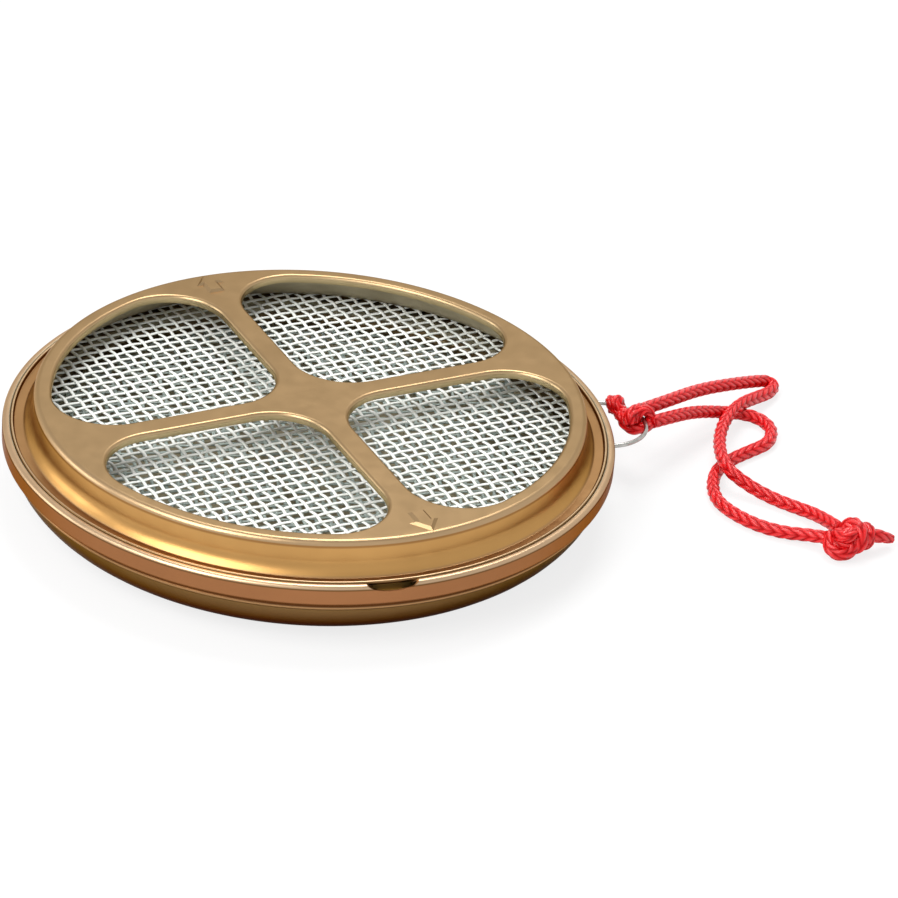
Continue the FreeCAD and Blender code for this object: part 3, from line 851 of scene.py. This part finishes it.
def route_line(name, route):
    """The points along the smooth line that a route's control points steer."""
    data = bpy.data.curves.new(name, "CURVE")
    data.dimensions = "3D"
    spline = data.splines.new("NURBS")
    spline.points.add(len(route) - 1)
    for place, point in zip(spline.points, route):
        place.co = (*point, 1.0)
    spline.order_u = 3
    spline.use_endpoint_u = True
    reach = sum((after - before).length for before, after in zip(route, route[1:]))
    spline.resolution_u = math.ceil(reach / (len(route) - 2) / CORD_STEP)
    curve = bpy.data.objects.new(name, data)
    bpy.context.scene.collection.objects.link(curve)
    line_mesh = bpy.data.meshes.new_from_object(curve)
    line = [vert.co.copy() for vert in line_mesh.vertices]
    bpy.data.meshes.remove(line_mesh)
    return curve, line


def braid_height(turn, along):
    """Height of the braid's strands, 0 to 1, at a share of a turn round and a distance along."""
    place = turn * BRAID_COLUMNS
    column = math.floor(place)
    across = place - column
    slant = 1 if column % 2 else -1
    phase = along / BRAID_PITCH + slant * BRAID_RISE * (across - 0.5) + (column // 2) / 2
    strand = (1 - math.cos(2 * math.pi * phase)) / 2
    inwards = min(1, min(across, 1 - across) / BRAID_EDGE_SHARE)
    edge = BRAID_EDGE_HEIGHT_SHARE
    return math.sqrt(strand) * (edge + (1 - edge) * math.sin(math.pi / 2 * inwards))


def braided_mesh(name, route, thickness=1.0, end_share=1.0):
    """A tube along a route with its braid raised from it. The far end may taper."""
    curve, line = route_line(name, route)
    radius = CORD / 2 * thickness
    curve.data.bevel_depth = radius
    # A curve's tube has four sides and two more for each step of its resolution
    curve.data.bevel_resolution = (CORD_SIDES - 4) // 2
    mesh = bpy.data.meshes.new_from_object(curve)
    bpy.data.objects.remove(curve)
    lengths = [0.0]
    for before, after in zip(line, line[1:]):
        lengths.append(lengths[-1] + (after - before).length)
    heights = []
    for index, vert in enumerate(mesh.vertices):
        ring, side = divmod(index, CORD_SIDES)
        height = braid_height(side / CORD_SIDES, lengths[ring])
        heights.append(height)
        taper = 1 + (end_share - 1) * (lengths[ring] / lengths[-1]) ** 2
        out = (vert.co - line[ring]).normalized()
        vert.co = line[ring] + out * (radius + BRAID_PROUD - BRAID_DEPTH * (1 - height)) * taper
    attribute = mesh.attributes.new("braid_height", "FLOAT", "POINT")
    attribute.data.foreach_set("value", heights)
    return mesh, line


def closed_mesh(name, tubes):
    """The tubes in one mesh with their ends filled."""
    shape = bmesh.new()
    for tube in tubes:
        shape.from_mesh(tube)
    bmesh.ops.holes_fill(shape, edges=shape.edges, sides=CORD_SIDES)
    bmesh.ops.recalc_face_normals(shape, faces=shape.faces)
    mesh = mesh_from(name, shape)
    smooth(mesh)
    return mesh


def on_the_bail(name, tubes, material, stands_for):
    """Cord that swings with the bail, in place of a CAD node."""
    piece = new_piece(name, closed_mesh(name, tubes), material)
    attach(piece, "bail")
    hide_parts(stands_for)
    return piece


def make_strand(name, route, material, stands_for):
    """A free stretch of the cord along its route."""
    tube, line = braided_mesh(name, route)
    piece = on_the_bail(name, [tube], material, stands_for)


def make_hitch(material):
    """The hitch round the bail."""
    turns = [braided_mesh("hitch_turn", route, thickness)[0] for thickness, route in HITCH_TURNS]
    return on_the_bail("red_hitch", turns, material, "cord_hitch")


def make_knot(material):
    """The knot that ties the two strands, with its tail."""
    turns = [braided_mesh("knot_turn", route, thickness)[0] for thickness, route in KNOT_TURNS]
    turns.append(braided_mesh("knot_tail", TAIL_ROUTE, TAIL_THICKNESS, TAIL_END_SHARE)[0])
    return on_the_bail("red_knot", turns, material, "cord_knot")


# Nets

def woven_net(name, radius, height, angle, material, stands_for, body):
    """Two sets of threads that pass over and under each other, cut to a disc."""
    drift = random.Random(NET_SEED)
    shape = bmesh.new()
    count = int(radius / NET_PITCH)
    reach = count * NET_PITCH
    strip = Matrix.Diagonal((THREAD_WIDTH / 2, reach, 1.0, 1.0))
    for turn, thread_wave in enumerate(THREAD_WAVES):
        for row in range(-count, count + 1):
            made = bmesh.ops.create_grid(shape, x_segments=THREAD_FACES_ACROSS, size=1.0, matrix=strip,
                                         y_segments=2 * THREAD_FACES_PER_CELL * count)
            offset = row * NET_PITCH + drift.uniform(-THREAD_DRIFT, THREAD_DRIFT)
            bend = drift.uniform(-THREAD_DRIFT, THREAD_DRIFT)
            for vert in made["verts"]:
                wave = math.cos(math.pi * (vert.co.y / NET_PITCH + row + turn))
                crown = 1 - abs(vert.co.x) / (THREAD_WIDTH / 2)
                vert.co.z = thread_wave * wave + THREAD_CROWN * crown
                vert.co.x += offset + bend * math.cos(2 * math.pi * vert.co.y / radius)
            turned_about_z(shape, made["verts"], turn * math.pi / 2)
    outside = [vert for vert in shape.verts if math.hypot(vert.co.x, vert.co.y) > radius]
    bmesh.ops.delete(shape, geom=outside, context="VERTS")
    turned_about_z(shape, shape.verts, angle)
    bmesh.ops.translate(shape, verts=shape.verts, vec=UP * height)
    mesh = mesh_from(name, shape)
    smooth(mesh)
    piece = new_piece(name, mesh, material)
    wall = piece.modifiers.new("thread_thickness", "SOLIDIFY")
    wall.thickness = THREAD_THICK
    wall.offset = 0.0
    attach(piece, body)
    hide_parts(stands_for)


# Tin

def rounded_profile(corners):
    """Points along a profile of (radius, height, rounding) corners. Its ends are sharp."""
    places = [Vector(corner[:2]) for corner in corners]
    points = [places[0]]
    for before, corner, after, sizes in zip(places, places[1:], places[2:], corners[1:]):
        rounding = sizes[2]
        back = (before - corner).normalized()
        on = (after - corner).normalized()
        turn = math.pi - back.angle(on)
        centre = corner + (back + on).normalized() * (rounding / math.cos(turn / 2))
        spoke = corner + back * rounding * math.tan(turn / 2) - centre
        side = math.copysign(1, on.x * back.y - on.y * back.x)
        count = math.ceil(turn / ARC_STEP)
        for step in range(count + 1):
            points.append(centre + Matrix.Rotation(side * turn * step / count, 2) @ spoke)
    points.append(places[-1])
    return points


def turn_profile(shape, corners):
    """The profile spun into a closed ring of faces."""
    line = [shape.verts.new((point.x, 0, point.y)) for point in rounded_profile(corners)]
    edges = [shape.edges.new(pair) for pair in zip(line, line[1:])]
    bmesh.ops.spin(shape, geom=line + edges, cent=Vector(), axis=UP, angle=2 * math.pi,
                   steps=TURN_STEPS, use_merge=True)
    bmesh.ops.remove_doubles(shape, verts=shape.verts, dist=MERGE_GAP)


def as_sheet_metal(name, shape, material):
    """The surface with its tinplate thickness added on the inside."""
    bmesh.ops.recalc_face_normals(shape, faces=shape.faces)
    piece = new_piece(name, mesh_from(name, shape), material)
    wall = piece.modifiers.new("tinplate", "SOLIDIFY")
    wall.thickness = SHEET
    wall.offset = -1.0
    return piece


def base_cutters():
    """Saddles across the rim and the two holes for the bail."""
    shape = bmesh.new()
    along_x = Matrix.Rotation(math.pi / 2, 4, "Y")
    oval = Matrix.Diagonal((1.0, NOTCH_WIDTH / 2, NOTCH_DEPTH + NOTCH_LIFT, 1.0))
    for i in (0, 1):
        place = Matrix.Translation((RIM_RADIUS, 0, RIM_TOP + NOTCH_LIFT)) @ oval @ along_x
        made = bmesh.ops.create_cone(shape, cap_ends=True, segments=CUTTER_STEPS, radius1=1.0,
                                     radius2=1.0, depth=2 * CUTTER_LENGTH, matrix=place)
        turned_about_z(shape, made["verts"], NOTCH_ANGLE + i * math.pi)
    for side in (-1, 1):
        place = Matrix.Translation((RIM_RADIUS, side * BAIL_RADIUS, BAIL_HEIGHT)) @ along_x
        made = bmesh.ops.create_cone(shape, cap_ends=True, segments=CUTTER_STEPS, depth=CUTTER_LENGTH,
                                     radius1=BAIL_HOLE / 2, radius2=BAIL_HOLE / 2, matrix=place)
        turned_about_z(shape, made["verts"], BAIL_ANGLE)
    cutter = bpy.data.objects.new("cutters", mesh_from("cutters", shape))
    bpy.context.scene.collection.objects.link(cutter)
    return cutter


def gold_piece(name, mesh, stands_for, body):
    """Lacquered tin on a body, in place of a CAD node."""
    piece = bpy.data.objects.new(name, mesh)
    bpy.context.scene.collection.objects.link(piece)
    smooth(mesh)
    mesh.set_sharp_from_angle(angle=SHARP_ANGLE)
    even_shading(piece)
    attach(piece, body)
    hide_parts(stands_for)


def paint_smoke_and_light_inside(mesh, material, top, reach, floor_radius):
    """Smoked tin, pale as painted light, on the inward faces under a height and within a radius, and on
    the floor.
    """
    mesh.materials.append(material)
    for face in mesh.polygons:
        radius = face.center.xy.length
        inward = radius < reach and face.normal.xy.dot(face.center.xy) < -INWARD_LEAN * radius
        on_floor = radius < floor_radius and face.normal.z > 0
        face.material_index = 1 if face.center.z < top and (inward or on_floor) else 0


def make_base(material, inside_material):
    """Round bowl, stepped out into the band, with a crease under the step and a rolled rim."""
    shape = bmesh.new()
    turn_profile(shape, [
        (0, 0, 0),
        (BOWL_FOOT_RADIUS, 0, BOWL_CORNER),
        (STEP_RADIUS - CREASE_RISE, BAND_BOTTOM - CREASE_DROP, CREASE_CORNER),
        (STEP_RADIUS + CREASE_RISE / 2, BAND_BOTTOM - CREASE_DROP + CREASE_HEIGHT / 2, CREASE_CORNER),
        (STEP_RADIUS - CREASE_RISE / 2, BAND_BOTTOM - CREASE_DROP + CREASE_HEIGHT, CREASE_CORNER),
        (STEP_RADIUS, BAND_BOTTOM, STEP_CORNER),
        (RIM_RADIUS, BAND_BOTTOM, BAND_CORNER),
        (RIM_RADIUS, RIM_TOP, RIM_CORNER),
        (RIM_RADIUS - RIM_ROLL, RIM_TOP, RIM_INNER_CORNER),
        (RIM_RADIUS - RIM_ROLL, RIM_TOP - RIM_DROP, 0),
    ])
    piece = as_sheet_metal("gold_base", shape, material)
    cutter = base_cutters()
    cut = piece.modifiers.new("notches_and_holes", "BOOLEAN")
    cut.operation = "DIFFERENCE"
    cut.solver = "EXACT"
    cut.object = cutter
    mesh = finished_mesh(piece)
    bpy.data.objects.remove(cutter)
    paint_smoke_and_light_inside(mesh, inside_material, RIM_TOP, RIM_RADIUS, BOWL_FOOT_RADIUS)
    gold_piece("gold_base", mesh, "base_pan", "base")


def window_outline(grow):
    """Outline of the window between the +X and +Y bars, grown outwards by a distance."""
    edge = BAR_WIDTH / 2 - grow
    outer = WINDOW_RADIUS + grow
    corner = WINDOW_CORNER + grow
    mid = edge + corner
    far = math.sqrt((outer - corner) ** 2 - mid ** 2)
    tilt = math.atan2(mid, far)
    quarter = math.pi / 2
    arcs = [
        (mid, mid, corner, 3 * quarter, 2 * quarter),
        (mid, far, corner, 2 * quarter, quarter - tilt),
        (0, 0, outer, quarter - tilt, tilt),
        (far, mid, corner, tilt, -quarter),
    ]
    points = []
    for x, y, radius, first, last in arcs:
        for step in range(WINDOW_STEPS + 1):
            angle = first + (last - first) * step / WINDOW_STEPS
            point = Vector((x + radius * math.cos(angle), y + radius * math.sin(angle), LID_TOP))
            if not points or (point - points[-1]).length > MERGE_GAP:
                points.append(point)
    return points


def window_ring(shape, grow, drop, turn):
    """One closed loop of edges round a window, at a distance under the top."""
    verts = [shape.verts.new(point - UP * drop) for point in window_outline(grow)]
    turned_about_z(shape, verts, turn)
    return [shape.edges.new(pair) for pair in zip(verts, verts[1:] + verts[:1])]


def add_window(shape, turn):
    """The rolled lip of a window. Gives the loop where it meets the flat top."""
    quarter = math.pi / 2
    angles = [quarter * step / LIP_STEPS for step in range(LIP_STEPS + 1)]
    sizes = [(LIP_ROLL * (1 - math.sin(a)), LIP_ROLL * (1 - math.cos(a))) for a in angles]
    rings = [window_ring(shape, grow, drop, turn) for grow, drop in sizes + [(0, LIP_DEPTH)]]
    for upper, lower in zip(rings, rings[1:]):
        bmesh.ops.bridge_loops(shape, edges=upper + lower)
    return rings[0]


def add_arrow(shape, turn):
    """A block arrow pressed up in the top, with sloped flanks, pointing outwards along +X."""
    tail = ARROW_MIDDLE - ARROW_LENGTH / 2
    tip = ARROW_MIDDLE + ARROW_LENGTH / 2
    neck = ARROW_MIDDLE - ARROW_SLOPE / 2
    half_head = ARROW_HEAD_WIDTH / 2
    half_tail = ARROW_TAIL_WIDTH / 2
    places = [(tail, -half_tail), (neck, -half_tail), (neck, -half_head), (tip, 0),
              (neck, half_head), (neck, half_tail), (tail, half_tail)]
    verts = [shape.verts.new((x, y, LID_TOP - ARROW_ROOT)) for x, y in places]
    face = shape.faces.new(verts)
    face.normal_update()
    bmesh.ops.inset_region(shape, faces=[face], thickness=ARROW_SLOPE, depth=ARROW_RISE + ARROW_ROOT,
                           use_even_offset=True, use_boundary=True)
    island = {vert for vert in shape.verts if vert in verts or vert in face.verts}
    turned_about_z(shape, list(island), turn)


def add_lug(shape, turn):
    """A pressed lug on the skirt that passes the base's notch."""
    size = Matrix.Diagonal((2 * LUG_REACH, LUG_WIDTH, LUG_HEIGHT, 1.0))
    place = Matrix.Translation((SKIRT_RADIUS, 0, SKIRT_BOTTOM + LUG_HEIGHT / 2))
    made = bmesh.ops.create_cube(shape, size=1.0, matrix=Matrix.Rotation(turn, 4, "Z") @ place @ size)
    edges = {edge for vert in made["verts"] for edge in vert.link_edges}
    bmesh.ops.bevel(shape, geom=list(edges), offset=LUG_EDGE, affect="EDGES",
                    segments=LUG_EDGE_STEPS, profile=0.5, material=-1)


def make_lid(material, inside_material):
    """Flat top with four windows, a wall, a shelf with a bead, and the skirt."""
    shape = bmesh.new()
    inner = (WINDOW_RADIUS + DOME_RADIUS) / 2
    turn_profile(shape, [
        (inner, LID_TOP, 0),
        (DOME_RADIUS, LID_TOP, DOME_CORNER),
        (DOME_WAIST_RADIUS, DOME_WAIST, DOME_SWEEP),
        (DOME_FOOT_RADIUS, FLANGE_TOP, DOME_FOOT),
        (BEAD_RADIUS, FLANGE_TOP, BEAD_FOOT),
        (BEAD_RADIUS, BEAD_TOP, BEAD_CORNER),
        (BEAD_RADIUS + BEAD_WIDTH, BEAD_TOP, BEAD_CORNER),
        (BEAD_RADIUS + BEAD_WIDTH, BEAD_TOP - BEAD_DEPTH / 2, BEAD_FOOT),
        (SKIRT_RADIUS, BEAD_TOP - BEAD_DEPTH, BEAD_FOOT),
        (SKIRT_RADIUS, SKIRT_BOTTOM, 0),
    ])
    loops = [edge for edge in shape.edges if edge.is_boundary and edge.verts[0].co.z > BEAD_TOP]
    for i in range(WINDOW_COUNT):
        loops += add_window(shape, BAR_ANGLE + i * 2 * math.pi / WINDOW_COUNT)
    bmesh.ops.triangle_fill(shape, edges=loops, use_beauty=True)
    mesh = finished_mesh(as_sheet_metal("gold_lid", shape, material))
    whole = bmesh.new()
    whole.from_mesh(mesh)
    for side in (-1, 1):
        add_arrow(whole, BAR_ANGLE + side * math.pi / 2)
    for i in (0, 1):
        add_lug(whole, NOTCH_ANGLE + i * math.pi)
    whole.to_mesh(mesh)
    whole.free()
    paint_smoke_and_light_inside(mesh, inside_material, LID_TOP - LIP_DEPTH, DOME_FOOT_RADIUS, 0)
    gold_piece("gold_lid", mesh, "lid_shell", "lid")


# CAD nodes that stay

def dress(node_name, material):
    """A CAD node with its material, its facets shaded as the smooth metal they stand for."""
    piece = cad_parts[node_name]
    piece.data.materials.clear()
    piece.data.materials.append(material)
    weld = piece.modifiers.new("weld", "WELD")
    weld.merge_threshold = WELD_GAP
    even_shading(piece)


# The whole scene

def main():
    place_camera()
    mottle = mottle_group()
    cord_red = red_cord(mottle)
    hitch = make_hitch(cord_red)
    knot = make_knot(cord_red)
    make_strand("red_strand_rear", REAR_ROUTE, cord_red, "cord_strand_rear")
    make_strand("red_strand_front", FRONT_ROUTE, cord_red, "cord_strand_front")
    fresh = glass_fibre("glass_fibre", mottle, FRESH_FIBRE_TONES)
    # The lower net: a darker copy of the glass fibre, for smoke and as painted shade
    smoked_painted_shade = glass_fibre("smoked_painted_shade_glass_fibre", mottle, SMOKED_PAINTED_SHADE_FIBRE_TONES)
    woven_net("upper_woven_net", LID_NET_RADIUS, LID_NET_HEIGHT, UPPER_NET_ANGLE, fresh, "lid_net", "lid")
    woven_net("lower_woven_net", BASE_NET_RADIUS, BASE_NET_HEIGHT, LOWER_NET_ANGLE, smoked_painted_shade,
              "base_net", "base")
    lacquer = lacquer_group(mottle)
    # Smoked inside tin, pale as painted light in the shaded hollows
    smoked_painted_light_tin = smoked_inside_painted_light(mottle)
    make_base(lacquered("gold_lacquer_base", lacquer, base_tone), smoked_painted_light_tin)
    make_lid(lacquered("gold_lacquer_lid", lacquer, lid_tone), smoked_painted_light_tin)
    tin = plain_tin(mottle)
    dress("base_net_ring", tin)
    dress("lid_net_ring", tin)
    dress("hanging_bail", zinc_wire(mottle))
    pale_floor()
    pale_world()
    soft_lamp("key_lamp", KEY_PLACE, KEY_SIZE, KEY_POWER)
    soft_lamp("front_lamp", FRONT_PLACE, FRONT_SIZE, FRONT_POWER)
    soft_lamp("side_lamp", SIDE_PLACE, SIDE_SIZE, SIDE_POWER)
    bpy.context.scene.view_settings.view_transform = "Standard"


main()
